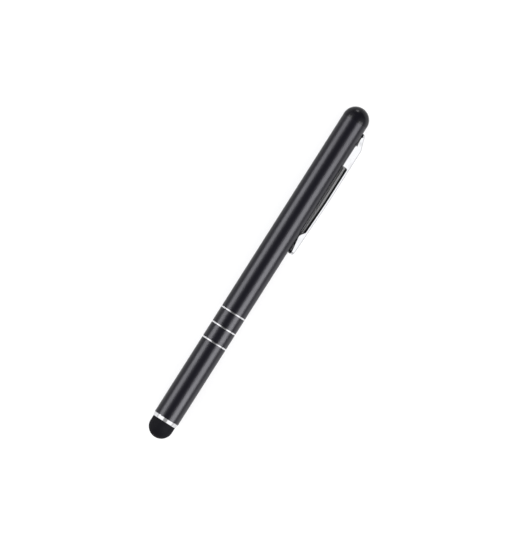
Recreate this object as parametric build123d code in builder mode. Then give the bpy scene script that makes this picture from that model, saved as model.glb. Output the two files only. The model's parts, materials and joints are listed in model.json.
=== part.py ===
from build123d import *

import os
from math import asin, atan2, cos, degrees, hypot, radians, sin, sqrt, tan

# A slim capacitive stylus pen, lying on a table on its barrel and on the edge of its pocket clip.
# Lengths are in millimetres. +X runs from the soft tip to the domed cap and +Z is up.
# The origin is on the table, under the middle of the pen's box.

# Soft tip: a hollow dome of conductive rubber with an in-turned lip at its base
nib_inset = 0.35
nib_skirt = 1.85
nib_wall = 0.9
nib_end_wall = 1.3
cavity_cone_length = 2.4
cavity_cone_inset = 1.65
nib_lip = 0.9
nib_clearance = 0.05

# Tip core: a headed pin that clamps the lip on the holder
core_head_height = 1.2
core_head_gap = 0.2
core_pin_grip = 5.0
core_pin_thread_share = 0.5

# Tip holder: a bright tapered rim in front of a threaded sleeve
rim_length = 1.3
rim_front_step = 0.1
thread_length = 6.5
thread_chamfer = 0.4
thread_relief_width = 0.8
thread_relief_depth = 0.35

# Thread insert: a bush pressed into the barrel's front
insert_length = 8.0
insert_wall = 0.69
insert_recess = 0.4
insert_chamfer = 0.25
thread_clearance = 0.06

# Barrel: a drawn tube
barrel_length = 116.0
barrel_diameter = 9.0
barrel_wall = 0.75
barrel_chamfer = 0.12

# Trim rings: split rings with a crowned face, sprung into grooves in the barrel
ring_names = ["trim_ring_front", "trim_ring_middle", "trim_ring_rear"]
ring_setback = 29.45
ring_pitch = 5.82
ring_width = 0.55
ring_depth = 0.3
ring_crown = 0.03
ring_split = 0.25

# End cap: a dome on a stem that locks the clip's hook
cap_band = 0.4
cap_chamfer = 0.12
stem_length = 10.5
stem_clearance = 0.06
stem_chamfer = 0.5
rib_count = 3
rib_radius = 0.4
rib_first_angle = 60.0

# Pocket clip: one stamped and folded strip of spring steel
clip_sheet = 0.6
clip_root_width = 4.0
clip_end_width = 3.4
clip_end_corner = 1.35
clip_arm_length = 41.1
clip_root_gap = 1.9
clip_end_gap = 1.35
clip_arm_crown = 0.35
clip_arm_radius = 120.0
clip_edge_radius = 0.18
clip_bend_radius = 1.0
clip_ramp_run = 5.2
clip_knee_rise = 0.25
clip_knee_radius = 0.4
clip_setback = 2.1
cheek_gap = 0.1
root_cheek_length = 7.9
root_cheek_tail = 0.6
root_window_radius = 1.1
gusset_gap = 0.2
foot_setback = 6.7
foot_lead_angle = 9.0
foot_back_angle = 38.0
foot_radius = 1.6
tab_width = 2.8
tab_narrowing_run = 3.6
clip_shoulder_radius = 4.0
hook_reach = 3.8
hook_clearance = 0.3
slot_length = 2.6
slot_gap = 0.2
slot_corner = 0.5

# Overrun of every cut past the face that it opens
cut_overrun = 1.0

# Radii about the pen's axis, and places along it from the front of the soft tip
barrel_radius = barrel_diameter / 2
bore_radius = barrel_radius - barrel_wall
nib_radius = barrel_radius - nib_inset
insert_bore_radius = bore_radius - insert_wall
thread_radius = insert_bore_radius - thread_clearance
core_pin_radius = thread_radius * core_pin_thread_share
nib_base = nib_radius + nib_skirt
barrel_front = nib_base + rim_length
barrel_back = barrel_front + barrel_length
dome_base = barrel_back + cap_band
pen_length = dome_base + barrel_radius
ring_middles = [barrel_front + ring_setback + place * ring_pitch for place in range(len(ring_names))]

# Side outline of the clip: places along the pen and heights over its axis
knee_place = barrel_back - clip_setback
bend_place = knee_place - clip_ramp_run
bend_height = barrel_radius + clip_root_gap + clip_sheet
arm_slope = asin((clip_root_gap - clip_end_gap) / clip_arm_length)
arm_end_place = bend_place - clip_arm_length * cos(arm_slope)
arm_end_height = barrel_radius + clip_end_gap + clip_sheet
crown_place = (arm_end_place + bend_place) / 2
crown_height = (arm_end_height + bend_height) / 2 + clip_arm_crown
root_slope = atan2(bend_height - crown_height, bend_place - crown_place)
knee_height = barrel_radius + clip_knee_rise
ramp_angle = atan2(bend_height - knee_height, clip_ramp_run)
hook_height = sqrt(bore_radius**2 - (tab_width / 2) ** 2) - hook_clearance
heel_height = hook_height - clip_sheet
toe_place = knee_place - hook_reach
bend_outer_radius = clip_bend_radius + clip_sheet
knee_outer_radius = clip_knee_radius + clip_sheet
bend_run = bend_outer_radius * tan((ramp_angle + root_slope) / 2)

# The clip's hinge runs along the middle of its knee, inside the barrel's slot
hinge_place = knee_place - knee_outer_radius
hinge_height = knee_height + knee_outer_radius * (tan(ramp_angle) - 1 / cos(ramp_angle))
tab_end_height = (hinge_height + heel_height + knee_outer_radius) / 2

# The pen lies on its barrel and on the clip's lower edge, so the clip tips below the level by this angle
edge_height = bend_height - clip_edge_radius
edge_across = clip_root_width / 2 - clip_edge_radius
edge_reach = hypot(edge_height, edge_across)
clip_tip = asin((barrel_radius - clip_edge_radius) / edge_reach) - atan2(edge_across, edge_height)
clip_reach = edge_height * cos(clip_tip) + edge_across * sin(clip_tip) + clip_edge_radius

# Frame: the pen's axis, the plane of its turned profiles and the planes of the clip
tip_point = Vector(-pen_length / 2, (clip_reach - barrel_radius) / 2, barrel_radius)
along = Vector(1, 0, 0)
outward = Vector(0, -cos(clip_tip), -sin(clip_tip))
pen_axis = Axis(tip_point, along)
profile_plane = Plane(tip_point, x_dir=along, z_dir=(0, -1, 0))
clip_side = Plane(tip_point, x_dir=along, z_dir=along.cross(outward))
clip_plan = Plane(tip_point, x_dir=along, z_dir=outward)
bend_point = clip_side.from_local_coords(Vector(bend_place, bend_height))
arm_along = along * cos(arm_slope) + outward * sin(arm_slope)
arm_outward = outward * cos(arm_slope) - along * sin(arm_slope)
arm_plan = Plane(bend_point, x_dir=arm_along, z_dir=arm_outward)

os.makedirs("parts", exist_ok=True)

# Soft tip
cavity_radius = nib_radius - nib_wall
lip_front = nib_base - nib_lip
lip_radius = core_pin_radius + nib_clearance
with BuildPart() as silicone_tip:
    with BuildSketch(profile_plane):
        with BuildLine():
            CenterArc((nib_radius, 0), nib_radius, 180, -90)
            Polyline(
                (nib_radius, nib_radius),
                (nib_base, nib_radius),
                (nib_base, lip_radius),
                (lip_front, lip_radius),
                (lip_front, cavity_radius),
                (nib_end_wall + cavity_cone_length, cavity_radius),
                (nib_end_wall, cavity_radius - cavity_cone_inset),
                (nib_end_wall, 0),
                (0, 0),
            )
        make_face()
    revolve(axis=pen_axis)
silicone_tip.part.label = "silicone_tip"
export_step(silicone_tip.part, "parts/silicone_tip.step")

# Tip core
core_front = lip_front - core_head_height
core_head_radius = cavity_radius - core_head_gap
core_pin_end = nib_base + core_pin_grip
with BuildPart() as tip_core:
    with BuildSketch(profile_plane):
        with Locations((core_front, 0)):
            Rectangle(core_head_height, core_head_radius, align=(Align.MIN, Align.MIN))
        with Locations((lip_front, 0)):
            Rectangle(core_pin_end - lip_front, core_pin_radius, align=(Align.MIN, Align.MIN))
    revolve(axis=pen_axis)
tip_core.part.label = "tip_core"
export_step(tip_core.part, "parts/tip_core.step")

# Tip holder
relief_radius = thread_radius - thread_relief_depth
relief_end = barrel_front + thread_relief_width
thread_end = barrel_front + thread_length
rim_front_radius = nib_radius + rim_front_step
with BuildPart() as tip_holder:
    with BuildSketch(profile_plane):
        with BuildLine():
            Polyline(
                (nib_base, rim_front_radius),
                (barrel_front, barrel_radius),
                (barrel_front, relief_radius),
                (relief_end, relief_radius),
                (relief_end, thread_radius),
                (thread_end - thread_chamfer, thread_radius),
                (thread_end, thread_radius - thread_chamfer),
                (thread_end, core_pin_radius),
                (nib_base, core_pin_radius),
                close=True,
            )
        make_face()
    revolve(axis=pen_axis)
tip_holder.part.label = "tip_holder"
export_step(tip_holder.part, "parts/tip_holder.step")

# Thread insert
insert_front = barrel_front + insert_recess
with BuildPart() as thread_insert:
    with BuildSketch(profile_plane):
        with Locations((insert_front, insert_bore_radius)):
            Rectangle(insert_length, insert_wall, align=(Align.MIN, Align.MIN))
    revolve(axis=pen_axis)
    front_rims = thread_insert.edges().group_by(Axis.X)[0]
    chamfer(front_rims.sort_by(SortBy.RADIUS)[0], length=insert_chamfer)
thread_insert.part.label = "thread_insert"
export_step(thread_insert.part, "parts/thread_insert.step")

# Barrel
slot_width = tab_width + 2 * slot_gap
slot_back = knee_place + slot_gap
with BuildPart() as barrel_tube:
    with BuildSketch(profile_plane):
        with Locations((barrel_front, bore_radius)):
            Rectangle(barrel_length, barrel_wall, align=(Align.MIN, Align.MIN))
    revolve(axis=pen_axis)
    outer_rims = barrel_tube.edges().filter_by(GeomType.CIRCLE).sort_by(SortBy.RADIUS)[-2:]
    chamfer(outer_rims, length=barrel_chamfer)
    with BuildSketch(profile_plane):
        with Locations([(middle, barrel_radius) for middle in ring_middles]):
            Rectangle(ring_width, ring_depth, align=(Align.CENTER, Align.MAX))
    revolve(axis=pen_axis, mode=Mode.SUBTRACT)
    with BuildSketch(clip_plan):
        with Locations((slot_back - slot_length / 2, 0)):
            RectangleRounded(slot_length, slot_width, slot_corner)
    extrude(amount=barrel_radius + cut_overrun, mode=Mode.SUBTRACT)
barrel_tube.part.label = "barrel_tube"
export_step(barrel_tube.part, "parts/barrel_tube.step")

# Trim rings, each split on the clip's side
ring_floor = barrel_radius - ring_depth
ring_shoulder = barrel_radius - ring_crown
for ring_name, ring_middle in zip(ring_names, ring_middles):
    ring_front = ring_middle - ring_width / 2
    ring_back = ring_middle + ring_width / 2
    with BuildPart() as trim_ring:
        with BuildSketch(profile_plane):
            with BuildLine():
                Polyline(
                    (ring_back, ring_shoulder),
                    (ring_back, ring_floor),
                    (ring_front, ring_floor),
                    (ring_front, ring_shoulder),
                )
                SagittaArc((ring_front, ring_shoulder), (ring_back, ring_shoulder), ring_crown)
            make_face()
        revolve(axis=pen_axis)
        with BuildSketch(clip_plan):
            with Locations((ring_middle, 0)):
                Rectangle(ring_width + cut_overrun, ring_split)
        extrude(amount=barrel_radius + cut_overrun, mode=Mode.SUBTRACT)
    trim_ring.part.label = ring_name
    export_step(trim_ring.part, f"parts/{ring_name}.step")

# End cap, with crush ribs on its stem and a groove that the clip's hook lies in
stem_front = barrel_back - stem_length
stem_radius = bore_radius - stem_clearance
groove_floor = heel_height - hook_clearance
groove_end = knee_place + slot_gap
stem_section = Plane(
    profile_plane.from_local_coords(Vector(stem_front + stem_chamfer, 0)), x_dir=outward, z_dir=along
)
with BuildPart() as end_cap:
    with BuildSketch(profile_plane):
        with BuildLine():
            Polyline(
                (stem_front, 0),
                (stem_front, stem_radius - stem_chamfer),
                (stem_front + stem_chamfer, stem_radius),
                (barrel_back, stem_radius),
                (barrel_back, barrel_radius - cap_chamfer),
                (barrel_back + cap_chamfer, barrel_radius),
                (dome_base, barrel_radius),
            )
            CenterArc((dome_base, 0), barrel_radius, 90, -90)
            Line((pen_length, 0), (stem_front, 0))
        make_face()
    revolve(axis=pen_axis)
    with BuildSketch(stem_section):
        with PolarLocations(
            bore_radius - rib_radius,
            rib_count,
            start_angle=rib_first_angle,
            angular_range=360 - 2 * rib_first_angle,
            endpoint=True,
        ):
            Circle(rib_radius)
    extrude(amount=stem_length - stem_chamfer)
    with BuildSketch(clip_plan.offset(groove_floor)):
        with Locations((groove_end, 0)):
            Rectangle(groove_end - stem_front + cut_overrun, slot_width, align=(Align.MAX, Align.CENTER))
    extrude(amount=barrel_radius, mode=Mode.SUBTRACT)
end_cap.part.label = "end_cap"
export_step(end_cap.part, "parts/end_cap.step")


# Pocket clip: the folded strip, its stamped outline, and the cheeks turned down from its edges
def arm_height(place):
    """Height of the middle of the arm's sheet over the pen's axis, at a place along the pen."""
    from_crown_share = abs(place - crown_place) / (bend_place - crown_place)
    straight_height = bend_height - (bend_place - place) * tan(arm_slope)
    return straight_height + clip_arm_crown * (1 - from_crown_share) - clip_sheet / 2


def seat_height(width):
    """Height at which cheeks this far apart clear the round barrel by the cheek gap."""
    return sqrt(barrel_radius**2 - (width / 2 - clip_sheet) ** 2) + cheek_gap


foot_place = arm_end_place + foot_setback
foot_width = clip_end_width + (clip_root_width - clip_end_width) * foot_setback / clip_arm_length
lead_angle = radians(foot_lead_angle)
back_angle = radians(foot_back_angle)
foot_rounding = foot_radius * (cos((back_angle - lead_angle) / 2) / cos((back_angle + lead_angle) / 2) - 1)
foot_height = seat_height(foot_width) - foot_rounding
foot_depth = arm_height(foot_place) - foot_height
cheek_back = bend_place + root_cheek_tail
cheek_front = cheek_back - root_cheek_length
root_height = seat_height(clip_root_width)
gusset_height = barrel_radius + gusset_gap
ramp_middle_height = bend_height - clip_sheet / 2 / cos(ramp_angle)
gusset_end = bend_place + (ramp_middle_height - gusset_height) / tan(ramp_angle)
with BuildSketch(clip_side) as clip_strip:
    with BuildLine():
        FilletPolyline(
            (arm_end_place, arm_end_height),
            (crown_place, crown_height),
            (bend_place, bend_height),
            (knee_place, knee_height),
            (knee_place, tab_end_height),
            radius=[clip_arm_radius, bend_outer_radius, knee_outer_radius],
        )
        offset(amount=clip_sheet, side=Side.RIGHT)
    make_face()
with BuildSketch(arm_plan) as clip_outline:
    with BuildLine():
        FilletPolyline(
            (-clip_arm_length, 0),
            (-clip_arm_length, clip_end_width / 2),
            (-bend_run, clip_root_width / 2),
            (tab_narrowing_run, tab_width / 2),
            (clip_ramp_run + cut_overrun, tab_width / 2),
            radius=[clip_end_corner, clip_shoulder_radius, 0],
        )
        Line((clip_ramp_run + cut_overrun, tab_width / 2), (clip_ramp_run + cut_overrun, 0))
        mirror(about=Plane.XZ)
    make_face()
with BuildPart() as pocket_clip:
    with BuildSketch(clip_side) as side:
        add(clip_strip.sketch_local)
        with BuildLine():
            lead_start = (foot_place - foot_depth / tan(lead_angle), arm_height(foot_place))
            back_end = (foot_place + foot_depth / tan(back_angle), arm_height(foot_place))
            FilletPolyline(lead_start, (foot_place, foot_height), back_end, radius=foot_radius)
            Line(back_end, lead_start)
        make_face()
        with BuildLine():
            Polyline(
                (cheek_front, arm_height(cheek_front)),
                (cheek_front, root_height),
                (cheek_back, root_height),
                (cheek_back, gusset_height),
                (gusset_end, gusset_height),
                (bend_place, arm_height(bend_place)),
                close=True,
            )
        make_face()
        window_corner = Vector(cheek_front, arm_height(cheek_front) - clip_sheet / 2)
        fillet(side.vertices().sort_by_distance(window_corner)[0], root_window_radius)
    extrude(amount=clip_root_width / 2, both=True)
    with BuildSketch(arm_plan):
        add(clip_outline.sketch_local)
        offset(amount=-clip_sheet, mode=Mode.SUBTRACT)
    extrude(amount=barrel_diameter, both=True, mode=Mode.INTERSECT)
    with BuildSketch(clip_side):
        add(clip_strip.sketch_local)
    extrude(amount=clip_root_width / 2, both=True)
    with BuildSketch(arm_plan):
        add(clip_outline.sketch_local)
    extrude(amount=barrel_diameter, both=True, mode=Mode.INTERSECT)
    arm_rims = pocket_clip.faces().sort_by(Axis(bend_point, arm_outward))[-3:].edges()
    arm_folds = arm_rims.filter_by(Axis(bend_point, clip_side.z_dir)).sort_by(Axis.X)[1:]
    fillet(arm_rims - arm_folds, clip_edge_radius)
    with BuildSketch(clip_side):
        with BuildLine():
            FilletPolyline(
                (knee_place, tab_end_height),
                (knee_place, heel_height),
                (toe_place, heel_height),
                radius=knee_outer_radius,
            )
            offset(amount=clip_sheet, side=Side.RIGHT)
        make_face()
    extrude(amount=tab_width / 2, both=True)
pocket_clip.part.label = "pocket_clip"
export_step(pocket_clip.part, "parts/pocket_clip.step")

hinge_point = clip_side.from_local_coords(Vector(hinge_place, hinge_height))
hinge_direction = -clip_side.z_dir
print(f"pen length {pen_length:.3f}, box width {clip_reach + barrel_radius:.3f}, axis y {tip_point.Y:.4f}")
print(f"clip tips {degrees(clip_tip):.4f} degrees below the level")
print(f"clip hinge at {hinge_point.X:.4f}, {hinge_point.Y:.4f}, {hinge_point.Z:.4f}")
print(f"clip hinge along {hinge_direction.X:.6f}, {hinge_direction.Y:.6f}, {hinge_direction.Z:.6f}")
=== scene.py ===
# %% [markdown]
# This lesson dresses a stylus pen: a black tube with a soft rubber tip, bright rings, a glossy cap and
# a sprung pocket clip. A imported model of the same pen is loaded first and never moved, so every mesh
# made here lands on the real piece. Its box is kept at once, to hold the finished pen against later.

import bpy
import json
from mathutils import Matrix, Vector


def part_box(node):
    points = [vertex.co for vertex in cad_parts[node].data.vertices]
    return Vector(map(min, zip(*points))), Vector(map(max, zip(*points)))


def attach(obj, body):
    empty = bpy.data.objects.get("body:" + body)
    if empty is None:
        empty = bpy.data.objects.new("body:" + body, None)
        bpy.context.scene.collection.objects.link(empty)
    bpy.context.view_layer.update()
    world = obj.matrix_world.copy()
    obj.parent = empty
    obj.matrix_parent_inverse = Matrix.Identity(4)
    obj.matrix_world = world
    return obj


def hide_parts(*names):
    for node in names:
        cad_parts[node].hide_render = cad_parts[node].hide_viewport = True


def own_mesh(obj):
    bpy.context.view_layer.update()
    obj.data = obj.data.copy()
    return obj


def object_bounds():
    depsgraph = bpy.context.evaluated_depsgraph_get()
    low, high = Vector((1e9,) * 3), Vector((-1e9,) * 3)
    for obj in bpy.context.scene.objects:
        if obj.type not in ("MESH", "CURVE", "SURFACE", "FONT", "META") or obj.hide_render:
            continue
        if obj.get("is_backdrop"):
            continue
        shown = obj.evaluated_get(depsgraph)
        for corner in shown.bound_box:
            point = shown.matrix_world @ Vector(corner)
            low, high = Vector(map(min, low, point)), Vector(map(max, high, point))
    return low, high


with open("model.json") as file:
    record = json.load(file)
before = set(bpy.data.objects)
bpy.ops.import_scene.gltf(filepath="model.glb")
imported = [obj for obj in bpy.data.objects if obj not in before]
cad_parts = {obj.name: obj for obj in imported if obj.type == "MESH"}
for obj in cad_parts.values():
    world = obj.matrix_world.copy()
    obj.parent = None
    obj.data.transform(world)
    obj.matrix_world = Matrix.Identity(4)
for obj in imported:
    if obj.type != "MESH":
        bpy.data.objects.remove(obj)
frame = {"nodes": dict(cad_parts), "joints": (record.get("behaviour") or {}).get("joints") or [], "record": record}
cad_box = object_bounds()
print("pieces in the frame:", ", ".join(sorted(frame["nodes"])))

# %% [markdown]
# Nearly every piece is round about one long axis, so it is easier to think along the pen than in world
# directions. A place is counted in millimetres back from the soft tip, "out" is towards the clip and
# "side" is across it. The axis comes from the grip's mount in the record and the clip's direction from
# its hinge, so nothing has to be measured twice.

# %% Set up the pen's own directions
import json
import math

import bmesh
import bpy
from mathutils import Vector

MM = 0.001
record = frame["record"]
grip = next(mount for mount in record["mounts"] if mount["name"] == "grip_barrel")
flex = next(joint for joint in frame["joints"] if joint["name"] == "clip_flex")
barrel_radius = grip["dims"]["r_mm"]
tip_end = Vector((cad_box[0].x, grip["pos_m"][1], grip["pos_m"][2]))
ALONG = Vector((1, 0, 0))
OUT = ALONG.cross(Vector(flex["axis"])).normalized()
SIDE = ALONG.cross(OUT)


def spot(place, out=0.0, side=0.0):
    """A point of the pen in metres, from millimetres along, out and to the side."""
    return tip_end + (ALONG * place + OUT * out + SIDE * side) * MM


def span(node):
    """The places where a piece starts and ends."""
    return [round((corner.x - tip_end.x) / MM, 3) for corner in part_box(node)]


pen_length = span("end_cap")[1]
print(f"pen {pen_length} mm long, barrel radius {barrel_radius} mm, clip towards {OUT}")

# %% [markdown]
# Turned parts never have knife edges: a cutter or a tumbling drum leaves a small round on each corner,
# and that round is what catches the light. A Bevel modifier could add it, but an outline that already
# holds its arcs keeps the mesh light and even. Two holding points beside each arc stop the smooth
# shading from leaking into the flat faces next to it.

# %% Draw outlines with rounded corners
def rounded(corners, steps=5, hold=0.25):
    """A line through corners of (along, out, rounding), with each corner eased into an arc."""
    line = []
    for number, (along, out, rounding) in enumerate(corners):
        here = Vector((along, out))
        if not rounding:
            line.append(here)
            continue
        back = (Vector(corners[number - 1][:2]) - here).normalized()
        ahead = (Vector(corners[(number + 1) % len(corners)][:2]) - here).normalized()
        half = back.angle(ahead) / 2
        centre = here + (back + ahead).normalized() * (rounding / math.sin(half))
        reach = rounding / math.tan(half)
        first = here + back * reach - centre
        last = here + ahead * reach - centre
        sweep = first.angle(last)
        curve = []
        for step in range(steps + 1):
            share = step / steps
            part = first * math.sin((1 - share) * sweep) + last * math.sin(share * sweep)
            curve.append(centre + part / math.sin(sweep))
        if hold:
            curve = [curve[0] + back * rounding * hold, *curve, curve[-1] + ahead * rounding * hold]
        line += curve
    return line


def arc(centre, radius, start, end, steps):
    """Points on a circle between two angles, in degrees from the pen's rear towards its outside."""
    angles = [math.radians(start + (end - start) * step / steps) for step in range(steps + 1)]
    return [Vector((centre + radius * math.cos(a), radius * math.sin(a))) for a in angles]


print("a square corner becomes", len(rounded([(0, 0, 0), (0, 1, 0.1), (1, 1, 0)])) - 2, "points")

# %% [markdown]
# A lathe turns an outline round an axis, and that is how the tube, rings, cap and tip are really made.
# Blender's Spin operator and Screw modifier do the same, but rings of vertices laid by a loop put every
# point where the pen's own directions say, and they can stop short of a full turn for a split ring.

# %% Turn an outline on a lathe
SEGMENTS = 144


def join_rings(bm, one, two, closed):
    """Faces between two rings of vertices, where a ring of one vertex is a pole."""
    count = max(len(one), len(two))
    for k in range(count if closed else count - 1):
        ring = [one[k % len(one)], one[(k + 1) % len(one)], two[(k + 1) % len(two)], two[k % len(two)]]
        bm.faces.new(list(dict.fromkeys(ring)))


def turned(line, closed=True, split=0.0):
    """A mesh from a line of (place, radius) turned round the axis, less a split of that angle."""
    bm = bmesh.new()
    share = (2 * math.pi - split) / SEGMENTS
    angles = [split / 2 + share * k for k in range(SEGMENTS + bool(split))]
    rings = []
    for place, radius in line:
        turn = angles if radius > 1e-6 else [0]
        rings.append([bm.verts.new(spot(place, radius * math.cos(a), radius * math.sin(a))) for a in turn])
    for one, two in zip(rings, rings[1:] + rings[:1] if closed else rings[1:]):
        join_rings(bm, one, two, closed=not split)
    if split:
        bm.faces.new([ring[0] for ring in rings])
        bm.faces.new([ring[-1] for ring in rings])
    return bm


print("one turn of the lathe has", SEGMENTS, "faces")

# %% [markdown]
# Some cuts are not round, such as the clip's slot through the tube wall. A Boolean modifier makes them
# from a second mesh, the cutter, and its exact solver copes with thin walls. The result is read back as
# a plain mesh, so no modifier or cutter is left in the file.

# %% Cut or join one mesh with another
def carve(bm, tool, operation="DIFFERENCE"):
    """The first mesh with the second cut from it or joined to it."""
    pair = []
    for part in (bm, tool):
        bmesh.ops.recalc_face_normals(part, faces=part.faces)
        mesh = bpy.data.meshes.new("bench")
        part.to_mesh(mesh)
        part.free()
        pair.append(bpy.data.objects.new("bench", mesh))
        bpy.context.scene.collection.objects.link(pair[-1])
    cut = pair[0].modifiers.new("cut", "BOOLEAN")
    cut.operation = operation
    cut.solver = "EXACT"
    cut.object = pair[1]
    made = bpy.data.meshes.new_from_object(pair[0].evaluated_get(bpy.context.evaluated_depsgraph_get()))
    result = bmesh.new()
    result.from_mesh(made)
    for item in pair:
        bpy.data.objects.remove(item)
    return result


def block(outline, low, high):
    """A block with an outline of (place, side), reaching from one distance out to another."""
    bm = bmesh.new()
    layers = [[bm.verts.new(spot(place, out, side)) for place, side in outline] for out in (low, high)]
    for layer in layers:
        bm.faces.new(layer)
    join_rings(bm, *layers, closed=True)
    return bm


print("cutters are made as blocks along the clip's direction")

# %% [markdown]
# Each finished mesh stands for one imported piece: it moves with that piece's body, takes its material
# slot and hides it. Smooth shading is kept across gentle angles only, so that arcs look round and real
# corners stay crisp. One function does all of this, because a step that is typed ten times is forgotten
# once.

# %% Turn a mesh into a named piece of the pen
WELD = 2e-7
CREASE = math.radians(32)
body_of = {node: body for body, nodes in record["behaviour"]["bodies"].items() for node in nodes}


def make_piece(name, bm, finish, node):
    """A named object from a mesh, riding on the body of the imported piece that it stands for."""
    bmesh.ops.remove_doubles(bm, verts=bm.verts, dist=WELD)
    bmesh.ops.dissolve_degenerate(bm, edges=bm.edges, dist=WELD)
    bmesh.ops.recalc_face_normals(bm, faces=bm.faces)
    for face in bm.faces:
        face.smooth = True
    for edge in bm.edges:
        edge.smooth = edge.is_manifold and edge.calc_face_angle() < CREASE
    loose = sum(not edge.is_manifold for edge in bm.edges)
    mesh = bpy.data.meshes.new(name)
    bm.to_mesh(mesh)
    bm.free()
    mesh.materials.append(finish)
    piece = bpy.data.objects.new(name, mesh)
    bpy.context.scene.collection.objects.link(piece)
    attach(piece, body_of[node])
    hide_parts(node)
    print(f"{name}: {len(mesh.polygons)} faces, {loose} open edges, rides on {body_of[node]}")
    return piece


# %% [markdown]
# A material is a small sum: so much roughness, plus a little where it is worn, less a little where it is
# rubbed. Wiring such sums by hand hides what they mean, so this class wraps a node's output and lets the
# sum be written as plain arithmetic. Every other node comes from its one method, which sets the node's
# own settings first and then fills or links its sockets.

# %% Write shader sums as arithmetic
class Wire:
    """One value inside a material, which can stand in a sum."""

    def __init__(self, tree, socket=None):
        self.tree = tree
        self.socket = socket

    def node(self, kind, settings=None, inputs=None, output=0):
        """A new node of a kind, with its settings and its sockets' values or links."""
        made = self.tree.nodes.new("ShaderNode" + kind)
        for name, value in (settings or {}).items():
            setattr(made, name, value)
        for name, value in (inputs or {}).items():
            if isinstance(value, Wire):
                self.tree.links.new(value.socket, made.inputs[name])
            else:
                made.inputs[name].default_value = value
        return Wire(self.tree, made.outputs[output] if made.outputs else None)

    def sum(self, operation, one, two):
        """A Math node on two values."""
        return self.node("Math", {"operation": operation}, {0: one, 1: two})

    def __add__(self, other):
        return self.sum("ADD", self, other)

    def __sub__(self, other):
        return self.sum("SUBTRACT", self, other)

    def __rsub__(self, other):
        return self.sum("SUBTRACT", other, self)

    def __mul__(self, other):
        return self.sum("MULTIPLY", self, other)

    def __truediv__(self, other):
        return self.sum("DIVIDE", self, other)

    __radd__ = __add__
    __rmul__ = __mul__


print("sums such as 1 - mask now make their own nodes")

# %% [markdown]
# Real finishes repeat a few ingredients: a fine grain, a mask that fades between two values, a blend of
# two colours and a surface that is not quite flat. Each is one node or two, so each gets a short
# function. All of them read object coordinates, which stay with a piece when its body moves.

# %% Mix the common ingredients of a finish
def new_finish(name):
    """An empty material, a wire to build from, and the position on the piece in metres."""
    material = bpy.data.materials.new(name)
    material.use_nodes = True
    material.node_tree.nodes.clear()
    start = Wire(material.node_tree)
    return material, start.node("TexCoord", output="Object")


def stretch(position, along=1.0, across=1.0):
    """A position scaled by one amount along the pen and another across it."""
    return position.node("VectorMath", {"operation": "MULTIPLY"}, {0: position, 1: (along, across, across)})


def grain(position, size_mm, detail=2.0, rough=0.5):
    """Soft random patches of about that size, from 0 to 1."""
    values = {"Vector": position, "Scale": 1 / (size_mm * MM), "Detail": detail, "Roughness": rough}
    return position.node("TexNoise", {}, values, "Fac")


def fade(value, low, high):
    """A mask that eases from 0 at one value to 1 at another."""
    ends = {"Value": value, "From Min": low, "From Max": high}
    return value.node("MapRange", {"interpolation_type": "SMOOTHSTEP"}, ends)


def blend(mask, one, two):
    """One colour where the mask is 0 and another where it is 1."""
    return mask.node("Mix", {"data_type": "RGBA"}, {0: mask, 6: one, 7: two}, 2)


def relief(height, depth_mm):
    """A surface that rises and falls with a height from 0 to 1."""
    return height.node("Bump", {}, {"Height": height, "Distance": depth_mm * MM}, "Normal")


def coat(position, **sockets):
    """The finished surface: a Principled shader with these sockets, wired to the material's output."""
    named = {name.replace("_", " "): value for name, value in sockets.items()}
    shader = position.node("BsdfPrincipled", {}, named)
    position.node("OutputMaterial", {}, {"Surface": shader})


def from_tip(position):
    """The step from the tip's end, on the axis, to a point."""
    return position.node("VectorMath", {"operation": "SUBTRACT"}, {0: position, 1: tip_end})


def shift_on(position, way):
    """How far a point lies from the tip's end in one of the pen's directions, in millimetres."""
    ends = {0: from_tip(position), 1: way}
    return position.node("VectorMath", {"operation": "DOT_PRODUCT"}, ends, "Value") / MM


def radius_on(position):
    """How far from the axis a point lies, in millimetres."""
    flat = stretch(from_tip(position), along=0.0)
    return position.node("VectorMath", {"operation": "LENGTH"}, {0: flat}, "Value") / MM


print("ingredients ready: grain, fade, blend, relief")

# %% [markdown]
# The barrel is a drawn aluminium tube, cut to length, grooved three times for its rings and slotted for
# the clip. It could be one long cylinder, but then the rings would float on it and the seams would not
# show. Turning the whole wall, inside and out, gives true grooves and rims, and the slot is cut after.

# %% Shape the barrel
ring_nodes = ["trim_ring_front", "trim_ring_middle", "trim_ring_rear"]
wall, rim_round, groove_depth, groove_round = 0.75, 0.02, 0.3, 0.02
slot_start, slot_end, slot_half, slot_round = 118.8, 121.4, 1.6, 0.5
loop_before_slot, loop_after_slot, overrun = 1.0, 0.6, 1.0
barrel_front, barrel_back = span("barrel_tube")
bore = barrel_radius - wall


def barrel_outline():
    """The tube's wall, from the front of the bore over the outside and back."""
    corners = [(barrel_front, bore, rim_round), (barrel_front, barrel_radius, rim_round)]
    for start, end in map(span, ring_nodes):
        floor = barrel_radius - groove_depth
        corners += [(start, barrel_radius, groove_round), (start, floor, 0)]
        corners += [(end, floor, 0), (end, barrel_radius, groove_round)]
    beside_slot = (slot_start - loop_before_slot, slot_end + loop_after_slot)
    corners += [(place, barrel_radius, 0) for place in beside_slot]
    return rounded(corners + [(barrel_back, barrel_radius, rim_round), (barrel_back, bore, rim_round)])


slot_outline = rounded([(slot_start, -slot_half, slot_round), (slot_end, -slot_half, slot_round),
                        (slot_end, slot_half, slot_round), (slot_start, slot_half, slot_round)], hold=0.0)
slot_cutter = block(slot_outline, bore - 2 * overrun, barrel_radius + overrun)
barrel_mesh = carve(turned(barrel_outline()), slot_cutter)
print("barrel cut from", barrel_front, "to", barrel_back)

# %% [markdown]
# Black anodising is a dyed oxide skin on the metal: satin, slightly violet, with the tube's draw lines
# still faintly in it. Hands polish it in patches, and unscrewing the tip wears its front rim to bare
# metal. The draw lines are a noise stretched along the pen, and they steer the roughness more than the
# colour, because that is how the eye sees them.

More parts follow.
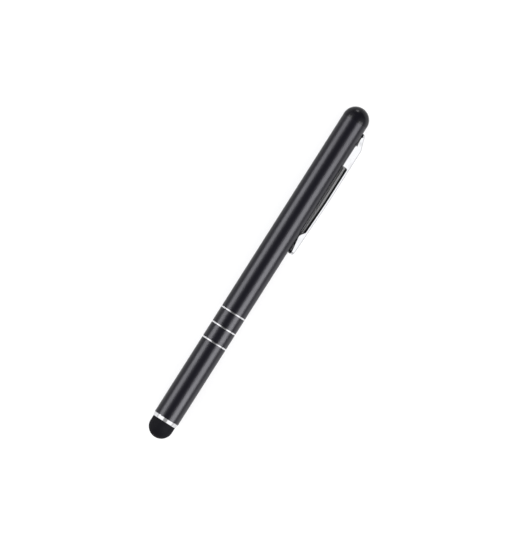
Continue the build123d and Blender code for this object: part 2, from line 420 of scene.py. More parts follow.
# %% Black anodised finish
def anodised_black():
    material, position = new_finish("black_anodised")
    draw_lines = grain(stretch(position, along=0.02), 0.12, detail=3)
    blast = grain(position, 0.07)
    handled = fade(grain(position, 9.0, detail=4), 0.42, 0.72)
    place = shift_on(position, ALONG)
    front_rim = fade(place, barrel_front + 0.08, barrel_front + 0.02)
    bare = front_rim * fade(grain(position, 0.5, detail=4), 0.52, 0.62)
    black = blend(handled, (0.0025, 0.0024, 0.0040, 1), (0.0033, 0.0032, 0.0049, 1))
    coat(position,
         Base_Color=blend(bare, black, (0.42, 0.42, 0.43, 1)),
         Metallic=bare,
         Roughness=0.27 + draw_lines * 0.05 + blast * 0.04 - handled * 0.03,
         IOR=1.27,
         Specular_Tint=(0.94, 0.93, 1.0, 1),
         Normal=relief(draw_lines * 0.6 + blast * 0.4, 0.0016))
    return material


make_piece("black_barrel", barrel_mesh, anodised_black(), "barrel_tube")

# %% [markdown]
# Three thin split rings are sprung into the grooves and stand flush with the tube. Their faces are
# slightly crowned, so each draws one bright line. Turning the section through a little less than a full
# circle leaves the split, which faces the clip as it does when the rings are fitted.

# %% Shape and finish the trim rings
ring_split, ring_ease, ring_edge, ring_shoulder = 0.25, 0.01, 0.05, 0.03


def turned_bright():
    material, position = new_finish("bright_turned")
    tool_lines = grain(stretch(position, along=1.0, across=0.02), 0.025, detail=3)
    dull = fade(grain(position, 1.6, detail=3), 0.4, 0.75)
    coat(position,
         Base_Color=blend(dull, (0.68, 0.68, 0.695, 1), (0.61, 0.61, 0.63, 1)),
         Metallic=1.0,
         Roughness=0.16 + tool_lines * 0.08 + dull * 0.06,
         Normal=relief(tool_lines, 0.0012))
    return material


bright_finish = turned_bright()
for node in ring_nodes:
    start, end = (span(node)[0] + ring_ease, span(node)[1] - ring_ease)
    shoulder, floor = barrel_radius - ring_shoulder, barrel_radius - groove_depth + ring_ease
    corners = [(start, floor, 0), (start, shoulder, ring_edge)]
    for k in range(2, 5):
        rise = ring_shoulder * (1 - (k / 3 - 1) ** 2)
        corners.append((start + (end - start) * k / 6, shoulder + rise, 0))
    corners += [(end, shoulder, ring_edge), (end, floor, 0)]
    ring_mesh = turned(rounded(corners), split=ring_split / barrel_radius)
    make_piece(node.replace("trim", "bright"), ring_mesh, bright_finish, node)

# %% [markdown]
# The cap is a moulded dome with a ribbed stem that presses into the tube, grooved on one side so that
# the clip's hook can pass. The dome and its short band are one line on the lathe. The ribs are joined on
# and the groove is cut, as the mould's inserts would do.

# %% Shape the end cap
band, cap_edge, stem_ease, stem_lead = 0.4, 0.02, 0.06, 0.5
rib_radius, rib_centre, rib_angles, rib_sides = 0.4, 3.35, (60, 180, 300), 16
rib_setback, rib_sunk = 1.0, 0.1
hook_floor, groove_end = 2.279, 121.4
cap_front, cap_end = span("end_cap")
stem_radius = bore - stem_ease
dome_start = barrel_back + band
dome = arc(dome_start, barrel_radius, 0, 88, 40)
stem = [(dome_start, barrel_radius, 0), (barrel_back, barrel_radius, cap_edge),
        (barrel_back, stem_radius, 0), (cap_front, stem_radius, stem_lead), (cap_front, 0, 0)]
cap_mesh = turned(dome + rounded(stem), closed=False)
for angle in rib_angles:
    turn = math.radians(angle)
    centre = Vector((math.cos(turn), math.sin(turn))) * rib_centre
    steps = [2 * math.pi * k / rib_sides for k in range(rib_sides)]
    circle = [centre + Vector((math.cos(a), math.sin(a))) * rib_radius for a in steps]
    rib = bmesh.new()
    places = (cap_front + rib_setback, barrel_back + rib_sunk)
    ends = [[rib.verts.new(spot(place, *point)) for point in circle] for place in places]
    for end in ends:
        rib.faces.new(end)
    join_rings(rib, *ends, closed=True)
    cap_mesh = carve(cap_mesh, rib, "UNION")
groove = [(cap_front - overrun, -slot_half), (groove_end, -slot_half),
          (groove_end, slot_half), (cap_front - overrun, slot_half)]
cap_mesh = carve(cap_mesh, block(groove, hook_floor, barrel_radius + overrun))
print("cap dome from", dome_start, "to", cap_end)

# %% [markdown]
# The cap is polished black plastic, a little smoother than the tube beside it, and it mirrors less.
# Mirror-smooth plastic looks fake, because a mould leaves a slow waviness and pockets leave hairline
# scratches. Both are far too fine to model, so they go into the roughness and a very shallow bump.

# %% Polished black finish
def polished_black():
    material, position = new_finish("polished_black")
    wave = grain(position, 1.8)
    hairlines = fade(grain(stretch(position, along=0.15), 0.05, detail=1), 0.62, 0.7)
    dust = fade(grain(position, 0.18, detail=1), 0.74, 0.8)
    coat(position,
         Base_Color=blend(dust * 0.35, (0.0034, 0.0033, 0.0047, 1), (0.02, 0.02, 0.022, 1)),
         Roughness=0.26 + hairlines * 0.06 + dust * 0.12,
         IOR=1.2,
         Normal=relief(wave * 0.9 + hairlines * 0.1, 0.006))
    return material


make_piece("domed_cap", cap_mesh, polished_black(), "end_cap")

# %% [markdown]
# The clip is one blank of spring steel, folded in a press: a tapering strip with cheeks turned down at
# its root, a foot turned down near its free end, a bend, a ramp, and a tab that hooks through the slot.
# A Solidify modifier on a folded sheet would do, but its edges stay square. Here one rounded section is
# carried along the folded line, and its width and its cheeks change as the real blank's do.

# %% Lay out the clip's folded line
sheet, rim_edge, cut_edge, end_round = 0.6, 0.42, 0.06, 0.18
arm_start, crown, bend, knee = (74.904, 6.45), (95.452, 7.075), (116.0, 7.0), (121.2, 5.45)
heel_out, toe = 2.579, 117.4
crown_round, bend_round, knee_round = 120.0, 1.6, 1.0
end_half, root_half, tab_half, end_corner = 1.7, 2.0, 1.4, 1.35
shoulder_end = 119.6
fold_steps = 8
folds = [(*arm_start, 0), (*crown, crown_round), (*bend, bend_round), (*knee, knee_round),
         (knee[0], heel_out, knee_round), (toe, heel_out, 0)]
folded = rounded(folds, fold_steps, hold=0.0)
bend_end = 2 * (fold_steps + 1)


def strip_out(place):
    """How far out the strip's outer face lies at a place on the arm, the bend or the ramp."""
    line = folded[:bend_end + 2]
    for one, two in zip(line, line[1:]):
        if place <= two.x:
            return one.y + (two.y - one.y) * (place - one.x) / (two.x - one.x)
    return line[-1].y


def half_width(place, from_end):
    """Half of the strip's width: rounded at its free end, widening to the bend, narrow at the tab."""
    share = (place - arm_start[0]) / (bend[0] - arm_start[0])
    narrow = min(max((place - bend[0]) / (shoulder_end - bend[0]), 0), 1)
    narrow = narrow * narrow * (3 - 2 * narrow)
    half = end_half + min(share, 1) * (root_half - end_half)
    half += narrow * (tab_half - root_half)
    short = max(end_corner - from_end, 0)
    return half - end_corner + math.sqrt(end_corner ** 2 - short ** 2)


print("clip arm widens from", 2 * end_half, "to", 2 * root_half, "mm")

# %% [markdown]
# The cheeks are what stiffens the thin strip. At the root they reach down to a tenth of a millimetre
# from the barrel and run on, past a notch, as a low gusset. Near the free end they make the foot that
# slides over a pocket's hem: a gentle lead-in, a small rounded sole and a steeper back. Between the two
# the arm keeps only a narrow lip. The lower edge is written as a height at each place, with its rounds
# as parts of circles.

# %% Give the cheeks their outline
cheek_gap, gusset_gap, notch, notch_run = 0.1, 0.3, 0.25, 1.2
lip, lip_start, lip_full = 0.25, 75.2, 76.6
root_start, root_end, window_round, cheek_corner = 108.7, 116.6, 1.1, 0.15
foot_place, foot_lead, foot_back, sole_round = 81.6, math.radians(9), math.radians(38), 1.6


def clear_of_barrel(half):
    """The lowest that a cheek's inner edge may reach over the round barrel."""
    return math.sqrt(barrel_radius ** 2 - (half - sheet) ** 2) + cheek_gap


def foot_edge(place):
    """The foot's lower edge: two slopes that meet in a round sole."""
    run = place - foot_place
    bisector = (math.pi - foot_lead + foot_back) / 2
    reach = sole_round / math.cos((foot_lead + foot_back) / 2)
    middle, lift = reach * math.cos(bisector), reach * math.sin(bisector)
    corner = clear_of_barrel(half_width(foot_place, end_corner)) + sole_round - lift
    if -sole_round * math.sin(foot_lead) < run - middle < sole_round * math.sin(foot_back):
        return corner + lift - math.sqrt(sole_round ** 2 - (run - middle) ** 2)
    return corner + max(-run * math.tan(foot_lead), run * math.tan(foot_back))


def root_edge(place):
    """The root cheeks' lower edge: a round window corner, eased corners, a notch and the gusset."""
    if place <= root_start:
        run = min(max(place - root_start + window_round, 0), window_round)
        return strip_out(place) - sheet - window_round + math.sqrt(window_round ** 2 - run ** 2)
    if place > root_end:
        return barrel_radius + gusset_gap + notch * max(1 - (place - root_end) / notch_run, 0)
    run = cheek_corner - min(place - root_start, root_end - place, cheek_corner)
    return clear_of_barrel(root_half) + cheek_corner - math.sqrt(cheek_corner ** 2 - run ** 2)


def cheek_edge(place):
    """The lower edge of whichever cheek is at a place, or of the arm's narrow lip."""
    if place > root_start:
        return root_edge(place)
    share = min(max((place - lip_start) / (lip_full - lip_start), 0), 1)
    cheek = root_edge(place) if place > root_start - window_round else foot_edge(place)
    return min(cheek, strip_out(place) - sheet - lip * share)


print("foot reaches down to", round(foot_edge(foot_place), 3), "mm from the axis")

# %% [markdown]
# A section is half a U: over the outer corner, down the cheek, round its lower edge, up the inside and
# in to the middle, then mirrored. Where there is no cheek its points close up on each other and are
# welded, so that one recipe serves the arm, the cheeks and the hook alike. The outer corner is well
# rounded by the polishing wheel, and the edge that the blanking die cut is nearly sharp. At the root the
# cheeks' outer corners reach lower than their inner ones, because the round barrel falls away there.

# %% Draw one section of the clip
fold_round, wall_most_share = 0.25, 0.8


def quarter(centre_side, centre_out, radius, start, end, steps=4):
    """A quarter circle in the section, from one angle to another in degrees."""
    angles = [math.radians(start + (end - start) * k / steps) for k in range(steps + 1)]
    return [(centre_side + radius * math.cos(a), centre_out + radius * math.sin(a)) for a in angles]


def clip_section(half, thickness, cheek, inset, hugs):
    """The strip's closed section, as points of (side, distance out from the outer face)."""
    drop = math.sqrt(barrel_radius ** 2 - (half - sheet) ** 2) - math.sqrt(barrel_radius ** 2 - half ** 2)
    drop = min(drop, cheek) if hugs else 0.0
    half = half - inset
    top, under, low = -inset, inset - thickness, inset - thickness - cheek
    wall_inside = half - min(sheet, half * wall_most_share)
    cut = min(cut_edge, half / 4)
    rim = min(rim_edge, half / 2, top - low - cut - cut_edge / 2)
    inner = min(cut, cheek / 2)
    fold = min(fold_round, cheek / 2)
    support = rim / 4
    points = [(half - rim - support, top)]
    points += quarter(half - rim, top - rim, rim, 90, 0)
    points += [(half, top - rim - support / 4), (half, low + cut - drop + support / 4)]
    points += quarter(half - cut, low + cut - drop, cut, 0, -90)
    points += quarter(wall_inside + inner, low + inner, inner, -90, -180)
    points += quarter(wall_inside - fold, under - fold, fold, 0, 90)
    points += [(wall_inside - fold - support * (fold > 0), under)]
    mirrored = [(-side, out) for side, out in reversed(points)]
    return [(0, top)] + points + [(0, under)] + mirrored


print("a section has", len(clip_section(root_half, sheet, 1.0, 0.0, True)), "points")

# %% [markdown]
# The stations are close together only where something changes: at the rounded free end, along the foot,
# at the window corner and in the bends. Deep cheeks would fold over themselves if every section stood
# square to the bend, so sections stay upright on to the ramp and only then lean over to follow the strip
# round its knee. The first and last sections are closed with a face.

# %% Carry the section along the folded line
lean_start, lean_end = 117.6, 120.3
step_width, foot_step, ramp_step = 2e-3, 0.15, 0.25
arm_places, cheek_places = [86, 88, 90, 92, 99, 102, 105], [109.7, 112, 116.1]


def eased(width, steps, first=0):
    """Distances from a rounded end, close together at first, over the width of its round."""
    return [width * (1 - math.cos(math.pi / 2 * k / steps)) for k in range(first, steps + 1)]


def stations():
    """Points of (place, out) along the strip's outer face, from the free end to the hook's toe."""
    ends = eased(end_round, 5)
    places = [arm_start[0] + step for step in ends + eased(end_corner, 10, first=4)]
    places += [arm_start[0] + end_corner + foot_step * k for k in range(1, 58)]
    places += arm_places + [point.x for point in folded[1:bend_end + 1]]
    places += [root_start - (window_round - step) for step in eased(window_round, 10)]
    for start, way in ((root_start, 1), (root_end, -1)):
        places += [start + way * step for step in eased(cheek_corner, 5, first=1)]
    places += [root_start + step_width, root_end - step_width, root_end, root_end + step_width]
    places += cheek_places + [root_end + ramp_step * k for k in range(1, 16)]
    flat = [Vector((place, strip_out(place))) for place in sorted(set(places))]
    return flat + folded[bend_end + 1:-1] + [Vector((toe + step, heel_out)) for step in reversed(ends)]


def clip_mesh():
    line = stations()
    bm = bmesh.new()
    rings = []
    walked = 0.0
    length = sum((two - one).length for one, two in zip(line, line[1:]))
    for number, here in enumerate(line):
        before, after = line[max(number - 1, 0)], line[min(number + 1, len(line) - 1)]
        walked += (here - before).length
        way = ((here - before).normalized() + (after - here).normalized()).normalized()
        slope = math.atan2(-way.y, way.x)
        share = min(max((here.x - lean_start) / (lean_end - lean_start), 0), 1)
        on_strip = here.y > knee[1] and here.x < lean_end
        lean = slope * share * share * (3 - 2 * share) if on_strip else slope
        outwards = Vector((math.sin(lean), math.cos(lean)))
        from_end = min(walked, length - walked)
        short = max(end_round - from_end, 0)
        inset = end_round - math.sqrt(end_round ** 2 - short ** 2)
        half = half_width(here.x, walked) if on_strip else tab_half
        thickness = sheet / math.cos(slope - lean)
        cheek = 0.0
        if on_strip:
            under = here - outwards * thickness
            cheek = max((under.y - cheek_edge(here.x)) / math.cos(lean), 0.0)
        ring = []
        for side, out in clip_section(half, thickness, cheek, inset, here.x > root_start):
            point = here + outwards * out
            ring.append(bm.verts.new(spot(point.x, point.y, side)))
        rings.append(ring)
    for one, two in zip(rings, rings[1:]):
        join_rings(bm, one, two, closed=True)
    for ring in (rings[0], rings[-1]):
        bm.faces.new(ring)
    print(f"clip strip is {length:.1f} mm long unfolded, with {len(rings)} sections")
    return bm


# %% [markdown]
# Chrome on polished steel is a mirror that is never quite clean: thumbs leave broad smudges, and cloth
# leaves fine lines along the strip. The outer face is rougher, as from brushing, and its colour is painted a
# darker grey, a painted shade that draws a soft grey edge. Inside and in the slot the colour is painted
# near black as painted shade, apart from a pale stripe on the inner face that is a painted reflection.
# Masks find these faces by the way they point and by where they lie.

# %% Chromed finish
tab_from, tab_full, slot_level, slot_level_full = 120.2, 120.5, 5.0, 4.8
# Where the painted reflection stripe on the clip's inner face begins and where it reaches full strength.
sheen_stripe_from, sheen_stripe_full = 76, 98


def chromed():
    material, position = new_finish("chromed_steel")
    smudge = fade(grain(position, 3.5, detail=4), 0.45, 0.75)
    rubbed = grain(stretch(position, along=0.03), 0.06, detail=2)
    normal = position.node("NewGeometry", output="Normal")
    facing = normal.node("VectorMath", {"operation": "DOT_PRODUCT"}, {0: normal, 1: OUT}, "Value")
    # Outward faces get more roughness, as from brushing, and a darker grey colour, a painted shade that draws the
    # soft grey edge line.
    outside = fade(facing, 0.1, 0.6)
    bright = blend(smudge, (0.61, 0.615, 0.63, 1), (0.56, 0.565, 0.58, 1))
    brushed_and_shaded_edge = blend(outside, bright, (0.40, 0.405, 0.42, 1))
    place = shift_on(position, ALONG)
    # Painted shade: the tab inside the slot and every inward-facing face get a near-black colour, where the barrel
    # and the slot shut out the light.
    in_slot = fade(shift_on(position, OUT), slot_level, slot_level_full)
    slotted = fade(place, tab_from, tab_full) * in_slot
    hidden = fade(facing, -0.5, -0.8)
    hidden = hidden + slotted - hidden * slotted
    painted_shade_inside = blend(hidden, brushed_and_shaded_edge, (0.02, 0.02, 0.022, 1))
    # Painted reflection: a pale, dull, non-metal stripe along the inner face stands in for a reflected light line,
    # and the clip fill lamp lights it.
    side = shift_on(position, SIDE)
    stripe = fade(side, 0.2, 0.6) * fade(side, end_half - 0.1, end_half - 0.3)
    wear_and_painted_sheen = fade(facing, 0.3, 0.0) * stripe * fade(place, sheen_stripe_from, sheen_stripe_full)
    coat(position,
         Base_Color=blend(wear_and_painted_sheen, painted_shade_inside, (0.85, 0.85, 0.86, 1)),
         Metallic=1 - wear_and_painted_sheen,
         Roughness=0.05 + smudge * 0.06 + rubbed * 0.04 + outside * 0.08 + wear_and_painted_sheen * 0.5,
         Normal=relief(rubbed, 0.0005))
    return material


make_piece("spring_clip", clip_mesh(), chromed(), "pocket_clip")

# %% [markdown]
# The tip unscrews, so its holder carries a real thread, and the bush inside the tube has the matching
# one. A thread is a small ridged profile carried along a helix. Rows of vertices that follow the helix
# keep its crests sharp with few faces, and clamping the rows at both ends lets the thread run out on a
# plain circle, where the turned rest of the piece begins.

# %% Cut a screw thread
PITCH = 0.75
thread_crest, thread_root, thread_play = 3.0, 2.58, 0.06
flank = (thread_crest - thread_root) * math.tan(math.radians(30)) / PITCH
crest_flat = 1 / 8
root_flat = 1 - crest_flat - 2 * flank
ridge = [(0, thread_root), (root_flat, thread_root),
         (root_flat + flank, thread_crest), (1 - flank, thread_crest)]


def add_thread(bm, start, end, limit, play=0.0):
    """A right-hand thread between two places, with its radius held by a limit at each place."""
    first = math.floor(start / PITCH) - 1
    rows = []
    for turn in range(first, math.ceil(end / PITCH) + 1):
        for share, radius in ridge:
            row = []
            for k in range(SEGMENTS + 1):
                angle = 2 * math.pi * k / SEGMENTS
                place = min(max(PITCH * (turn + share + k / SEGMENTS), start), end)
                held = limit(place, radius + play)
                row.append(bm.verts.new(spot(place, held * math.cos(angle), held * math.sin(angle))))
            rows.append(row)
    for one, two in zip(rows, rows[1:]):
        join_rings(bm, one, two, closed=False)


print(f"thread {PITCH} mm pitch, {thread_crest - thread_root:.2f} mm deep")

# %% [markdown]
# The holder is turned from brass and plated: a short bright rim that shows between tip and barrel, a
# relief where the threading tool runs out, the threaded sleeve, and a bore for the core's pin. Only the
# rim shows until the tip is unscrewed. Then the thread comes out, turn by turn.

# %% Shape the tip holder
rim_front, rim_back, pin_radius, relief_end, sleeve_lead = 4.25, 7.3, 1.5, 8.1, 0.05
turned_edge, collar_edge = 0.1, 0.06
holder_front, holder_end = span("tip_holder")


def runs_out(place, radius):
    """The thread's radius, eased down to its root at both ends of the sleeve."""
    room = min(place - relief_end, holder_end - sleeve_lead - place)
    return min(radius, thread_root + max(room, 0))


holder_mesh = turned(rounded([
    (relief_end, thread_root, 0), (rim_back, thread_root, turned_edge),
    (rim_back, barrel_radius, collar_edge), (holder_front, rim_front, turned_edge),
    (holder_front, pin_radius, turned_edge), (holder_end, pin_radius, turned_edge),
    (holder_end, thread_root - sleeve_lead, 0), (holder_end - sleeve_lead, thread_root, 0)]), closed=False)
add_thread(holder_mesh, relief_end, holder_end - sleeve_lead, runs_out)
print("holder from", holder_front, "to", holder_end)

# %% [markdown]
# Nickel and chrome over brass look like the clip's plating, but here the polish lines run round the
# piece. Where the thread's crests rub in the bush, the plating has worn through and the brass shows.
# A mask from the distance to the axis finds the crests, and noise breaks it up.

# %% Plated finish, worn on the crests
def plated_brass():
    material, position = new_finish("plated_brass")
    tool_lines = grain(stretch(position, along=1.0, across=0.02), 0.03, detail=3)
    smudge = fade(grain(position, 2.5, detail=3), 0.45, 0.75)
    threaded = fade(shift_on(position, ALONG), relief_end, relief_end + 0.3)
    crests = threaded * fade(radius_on(position), thread_crest - 0.12, thread_crest)
    # Here the mask is real wear, where the thread's crests have rubbed through the plating.
    wear_and_painted_sheen = crests * fade(grain(position, 0.7), 0.4, 0.6)
    bright = blend(smudge, (0.63, 0.63, 0.645, 1), (0.58, 0.58, 0.595, 1))
    coat(position,
         Base_Color=blend(wear_and_painted_sheen, bright, (0.78, 0.58, 0.26, 1)),
         Metallic=1.0,
         Roughness=0.06 + tool_lines * 0.05 + smudge * 0.05 + wear_and_painted_sheen * 0.12,
         Normal=relief(tool_lines, 0.0006))
    return material


make_piece("threaded_holder", holder_mesh, plated_brass(), "tip_holder")

# %% [markdown]
# The tube's wall is too thin for a thread, so a brass bush is pressed into it. Its bore has the same
# helix as the holder, opened by the play between them, which is why the two can share every place along
# the pen without touching.

# %% Shape the threaded bush and its brass
insert_front, insert_end = span("thread_insert")
insert_lead = 0.25
mouth = thread_crest + thread_play


def opens_up(place, radius):
    """The bore's radius, opened to its full width at both ends."""
    room = min(place - insert_front - insert_lead, insert_end - insert_lead - place)
    return max(radius, mouth - max(room, 0))


def brass(name):
    material, position = new_finish(name)
    tool_lines = grain(stretch(position, along=1.0, across=0.02), 0.04, detail=3)
    tarnish = fade(grain(position, 1.4, detail=4), 0.4, 0.75)
    coat(position,
         Base_Color=blend(tarnish, (0.80, 0.60, 0.28, 1), (0.60, 0.42, 0.18, 1)),
         Metallic=1.0,
         Roughness=0.18 + tool_lines * 0.1 + tarnish * 0.15,
         Normal=relief(tool_lines, 0.0012))
    return material


bush_mesh = turned(rounded([
    (insert_end - insert_lead, mouth, 0), (insert_end, mouth + insert_lead, 0),
    (insert_end, bore, turned_edge), (insert_front, bore, turned_edge),
    (insert_front, mouth + insert_lead, 0), (insert_front + insert_lead, mouth, 0)]), closed=False)
add_thread(bush_mesh, insert_front + insert_lead, insert_end - insert_lead, opens_up, thread_play)
make_piece("brass_bush", bush_mesh, brass("turned_brass"), "thread_insert")

# %% [markdown]
# A headed brass pin holds the rubber dome on its holder and carries the finger's charge through to it.
# It never shows, but it is part of how the tip works, so it is turned like the rest. Small rounds on its
# head keep it from cutting the rubber.

# %% Shape the core
head_front, core_end = span("tip_core")
head_radius, head_back, head_round, pin_round = 3.05, 5.1, 0.25, 0.2
core_mesh = turned(rounded([
    (head_front, 0, 0), (head_front, head_radius, head_round), (head_back, head_radius, head_round),
    (head_back, pin_radius, 0), (core_end, pin_radius, pin_round), (core_end, 0, 0)]), closed=False)
make_piece("brass_core", core_mesh, brass("core_brass"), "tip_core")

# %% [markdown]
# The soft tip is a hollow dome of conductive silicone. Its wall gives by less than a millimetre on the
# glass, and its thick lip is trapped behind the core's head. Outside it is half a ball on a short
# straight skirt, with a small round where the skirt meets the bright rim.

# %% Shape the soft tip
tip_front, tip_back = span("silicone_tip")
nib_radius, lip_front, lip_radius, nib_wall, end_wall = 4.15, 5.1, 1.55, 0.9, 1.3
skirt_round, lip_round, cavity_round = 0.16, 0.1, 0.3
cavity = nib_radius - nib_wall
outside = arc(nib_radius, nib_radius, 180, 92, 40)
skirt = rounded([
    (nib_radius, nib_radius, 0), (tip_back, nib_radius, skirt_round), (tip_back, lip_radius, lip_round),
    (lip_front, lip_radius, lip_round), (lip_front, cavity, cavity_round), (nib_radius, cavity, 0)])
hollow = [Vector((nib_radius - (nib_radius - end_wall) * math.sin(a), cavity * math.cos(a)))
          for a in map(math.radians, range(6, 91, 6))]
tip_mesh = turned(outside + skirt + hollow, closed=False)
print("rubber dome from", tip_front, "to", tip_back)

# %% [markdown]
# Silicone loaded with carbon is dead matt and very dark, with a fine tooth from the mould and a little
# dust that clings to it. The very end is rubbed smoother by the glass. The masks read how far along the
# pen a point lies, so the rubbed patch sits at the end and nowhere else.

# %% Matt silicone finish, and how much of the dome a hard press keeps
def matt_silicone():
    material, position = new_finish("matt_silicone")
    tooth = grain(position, 0.09, detail=3)
    lint = fade(grain(stretch(position, along=0.5), 0.22, detail=1), 0.74, 0.8)
    rubbed = fade(shift_on(position, ALONG), 1.2, 0.2) * fade(grain(position, 1.2), 0.3, 0.7)
    patches = fade(grain(position, 2.4), 0.3, 0.7)
    black = blend(patches, (0.0021, 0.0020, 0.0032, 1), (0.0029, 0.0028, 0.0041, 1))
    coat(position,
         Base_Color=blend(lint * 0.3, black, (0.08, 0.08, 0.085, 1)),
         Roughness=0.66 + tooth * 0.12 - rubbed * 0.22,
         Specular_IOR_Level=0.06,
         Normal=relief(tooth, 0.006))
    return material


rubber_tip = make_piece("rubber_tip", tip_mesh, matt_silicone(), "silicone_tip")
press = next(joint for joint in frame["joints"] if joint["name"] == "tip_press")
kept_share = 1 - press["range_m"][1] / ((tip_back - tip_front) * MM)
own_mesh(rubber_tip)
print(f"pressed hard, the dome keeps {kept_share:.3f} of its length")

# %% [markdown]
# The floor is a plain pale sweep, wide enough to fill every view. It is lit a little past white, as a
# photographer does to lose the table's edge and most of the shadow. A faint mottle keeps it from being a
# flat colour.

# %% Lay the floor
def pale_board():
    material, position = new_finish("pale_board")
    mottle = grain(position, 60.0, detail=4)
    coat(position,
         Base_Color=blend(mottle, (0.80, 0.80, 0.805, 1), (0.84, 0.84, 0.845, 1)),
         Roughness=0.9,
         Specular_IOR_Level=0.2)
    return material


floor_half = 3.0
floor_bm = bmesh.new()
bmesh.ops.create_grid(floor_bm, x_segments=24, y_segments=24, size=floor_half)
floor_data = bpy.data.meshes.new("floor")
floor_bm.to_mesh(floor_data)
floor_bm.free()
floor_data.materials.append(pale_board())
floor = bpy.data.objects.new("floor", floor_data)
bpy.context.scene.collection.objects.link(floor)
floor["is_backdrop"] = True
print("floor", 2 * floor_half, "m wide")

# %% [markdown]
# Bright metal only looks bright when it mirrors something bright, so the pen lies in a tent: white walls
# along both its sides, open overhead in a dark strip where the camera looks in. That strip draws the dark
# line down the middle of the barrel and of each ring. The walls dim towards their ends and the table.
# Beyond the tip the strip is narrower and paler, as the bright rim shows. The tent is the world's own
# light, so it needs no mesh.

# %% Hang the tent
scene = bpy.context.scene
middle = spot(pen_length / 2)
tent_level, opening_level, tip_level, table_level_share = 1.6, 0.12, 0.5, 0.32
strip_edge, wall_edge, tip_wall_edge = (math.radians(angle) for angle in (14, 48, 24))
horizon_start, horizon_end = (math.radians(angle) for angle in (66, 88))
world = bpy.data.worlds.new("tent")
scene.world = world
world.use_nodes = True
world.node_tree.nodes.clear()
sky = Wire(world.node_tree).node("TexCoord", output="Generated")
lengthwise, across, height = (sky.node("SeparateXYZ", {}, {0: sky}, name) for name in "XYZ")
tilt = sky.node("Math", {"operation": "ABSOLUTE"}, {0: across.sum("ARCTAN2", across, height)})
tipward = fade(lengthwise, -0.12, -0.4)
sides = fade(tilt, strip_edge, wall_edge - tipward * (wall_edge - tip_wall_edge))
horizon = fade(tilt, horizon_start, horizon_end)
ends = fade(sky.node("Math", {"operation": "ABSOLUTE"}, {0: lengthwise}), 0.8, 0.35)
opening = opening_level + tipward * (tip_level - opening_level)
walls = sides * ends * (1 - horizon * (1 - table_level_share))
glow = opening + walls * (tent_level - opening)
surface = sky.node("Background", {}, {"Color": (1, 1, 1, 1), "Strength": glow})
sky.node("OutputWorld", {}, {"Surface": surface})
print("tent glow", tent_level, "with openings at", opening_level)

# %% [markdown]
# Black pieces mirror only a few hundredths of what they see, so a tent alone leaves them dull. Two long
# softboxes, one on each side, draw the two bands along the barrel. They would burn out the chrome and the
# floor, so light linking keeps them to the black pieces, as a photographer does with flags. Both stand
# nearer to the tip, because the bands fade towards the cap.

# %% Add softboxes on both sides
def gather(name, pieces):
    """A collection of pieces that a light may reach."""
    collection = bpy.data.collections.new(name)
    for piece in pieces:
        collection.objects.link(bpy.data.objects[piece])
    return collection


def link_light(name, light, collection):
    """A light's object, hidden from the camera, that reaches only the pieces in a collection."""
    lamp = bpy.data.objects.new(name, light)
    lamp.visible_camera = False
    lamp.light_linking.receiver_collection = collection
    scene.collection.objects.link(lamp)
    return lamp


def softbox(name, collection, centre, towards, tilt, distance, width, length, radiance):
    """A long area light on one side of the pen, at an angle from straight up, facing it."""
    light = bpy.data.lights.new(name, "AREA")
    light.shape = "RECTANGLE"
    light.size = length
    light.size_y = width
    light.energy = radiance * math.pi * width * length
    lamp = link_light(name, light, collection)
    lamp.location = centre + Vector((0, towards * math.sin(tilt), math.cos(tilt))) * distance
    lamp.rotation_euler = (towards * -tilt, 0, 0)
    print(f"{name}: {light.energy:.2f} W")


black_pieces = gather("black_pieces", ("black_barrel", "domed_cap", "rubber_tip"))
softbox("softbox_clip_side", black_pieces, spot(pen_length * 0.12), towards=-1, tilt=math.radians(51),
        distance=0.6, width=0.42, length=0.30, radiance=19.0)
softbox("softbox_far_side", black_pieces, spot(pen_length * 0.27), towards=1, tilt=math.radians(56.5),
        distance=0.6, width=0.355, length=0.30, radiance=14.8)

# %% [markdown]
# The floor in the photograph is white right up to the pen, yet the narrow gap between clip and barrel is
# dark. One even light does both: it comes in low from the clip's side, reaches only the floor, and only
# the clip stands in its way, so that the clip's shadow falls under the barrel where nobody sees it.

# %% Wash the floor with light
wash = bpy.data.lights.new("floor_wash", "SUN")
wash.energy = 4.3
lamp = link_light("floor_wash", wash, gather("floor_alone", [floor.name]))
clip_alone = gather("clip_alone", ["spring_clip"])
lamp.light_linking.blocker_collection = clip_alone
lamp.rotation_euler = (math.radians(55), 0, 0)
print("floor wash", wash.energy, "W per square metre")

# %% [markdown]
# The clip's inside faces the black barrel, so it gets almost no light, yet the photograph shows a pale
# line there. A broad, weak sun from the far side fills it. It reaches only the clip, and the barrel is
# left out of its blockers, which stands in for the light that a real room bounces into such a gap.

# %% Fill the clip's inside
fill = bpy.data.lights.new("clip_fill", "SUN")
fill.energy = 0.7
fill.angle = 1.0
lamp = link_light("clip_fill", fill, clip_alone)
lamp.light_linking.blocker_collection = clip_alone
lamp.rotation_euler = (math.radians(-55), 0, 0)
print("clip fill", fill.energy, "W per square metre")

# %% [markdown]
# Along its clip side the barrel's flank is a little paler than along the other. A white card lying on
# the table there does it, because a glossy surface mirrors strongly when it is seen edge on. Light
# linking lets the card shine on the barrel and the cap alone, and through the clip.

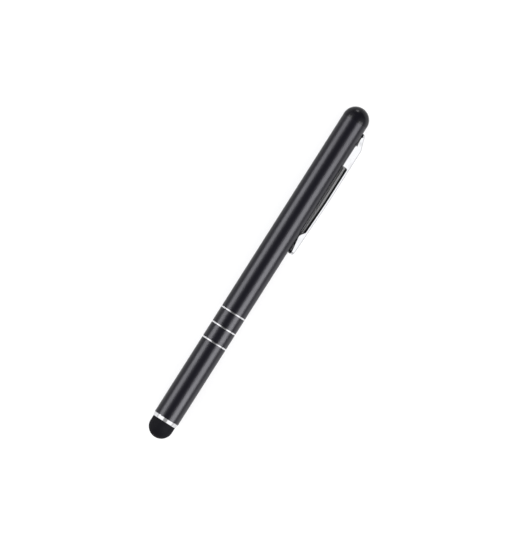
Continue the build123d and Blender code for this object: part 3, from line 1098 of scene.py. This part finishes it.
# %% Lay a white card beside the barrel
card_radiance, card_away, card_below = 0.8, 0.032, 0.0035
card = bpy.data.lights.new("white_card", "AREA")
card.shape = "RECTANGLE"
card.size, card.size_y = 0.30, 0.04
card.energy = card_radiance * math.pi * card.size * card.size_y
glossy_pieces = gather("glossy_pieces", ("black_barrel", "domed_cap"))
lamp = link_light("white_card", card, glossy_pieces)
lamp.light_linking.blocker_collection = glossy_pieces
lamp.location = middle - Vector((0, card_away, card_below))
lamp.rotation_euler = (math.pi, 0, 0)
print(f"white card: {card.energy:.3f} W")

# %% [markdown]
# A small lamp beyond the cap gives the dome its single sharp highlight. It is linked to the cap alone,
# because on the chrome it would draw a second one that the photograph hasn't got.

# %% Add the small lamp
from_cap = Vector((0.70, 0.255, 0.02))
small = bpy.data.lights.new("small_lamp", "POINT")
small.energy = 10.5
small.shadow_soft_size = 0.08
lamp = link_light("small_lamp", small, gather("cap_alone", ["domed_cap"]))
lamp.location = spot(pen_length) + from_cap
print("small lamp", small.energy, "W")

# %% [markdown]
# The camera hangs straight above the pen, turned so that the pen runs up to the right. It hangs high,
# because from close by the rings and the bright rim, which lie nearer to it than the pen's outline, would
# be drawn too far apart. The lens then follows from how much of the table the picture takes in.

# %% Hang the camera
photo_width, photo_height = 525, 550
mm_per_pixel = 0.3297
middle_pixel = (258.7, 272.7)
pen_turn = math.radians(57.62)
camera_height = 2.4
data = bpy.data.cameras.new("overhead")
data.sensor_width = 36.0
data.lens = data.sensor_width * camera_height / (photo_height * mm_per_pixel * MM)
camera = bpy.data.objects.new("overhead", data)
right = Vector((math.cos(pen_turn), -math.sin(pen_turn), 0))
up = Vector((math.sin(pen_turn), math.cos(pen_turn), 0))
shift_right = (photo_width / 2 - middle_pixel[0]) * mm_per_pixel * MM
shift_up = (middle_pixel[1] - photo_height / 2) * mm_per_pixel * MM
camera.location = middle + right * shift_right + up * shift_up + Vector((0, 0, camera_height))
camera.rotation_euler = (0, 0, -pen_turn)
scene.collection.objects.link(camera)
scene.camera = camera
scene.view_settings.view_transform = "Standard"
print(f"lens {data.lens:.0f} mm at {camera_height} m")

# %% [markdown]
# The dressed pen has to be the same size as the imported one.

# %% Measure both boxes and finish
visual_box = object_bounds()
grown = max((new - old).length for new, old in zip(visual_box, cad_box)) / MM
print(f"the boxes differ by {grown:.3f} mm at most")
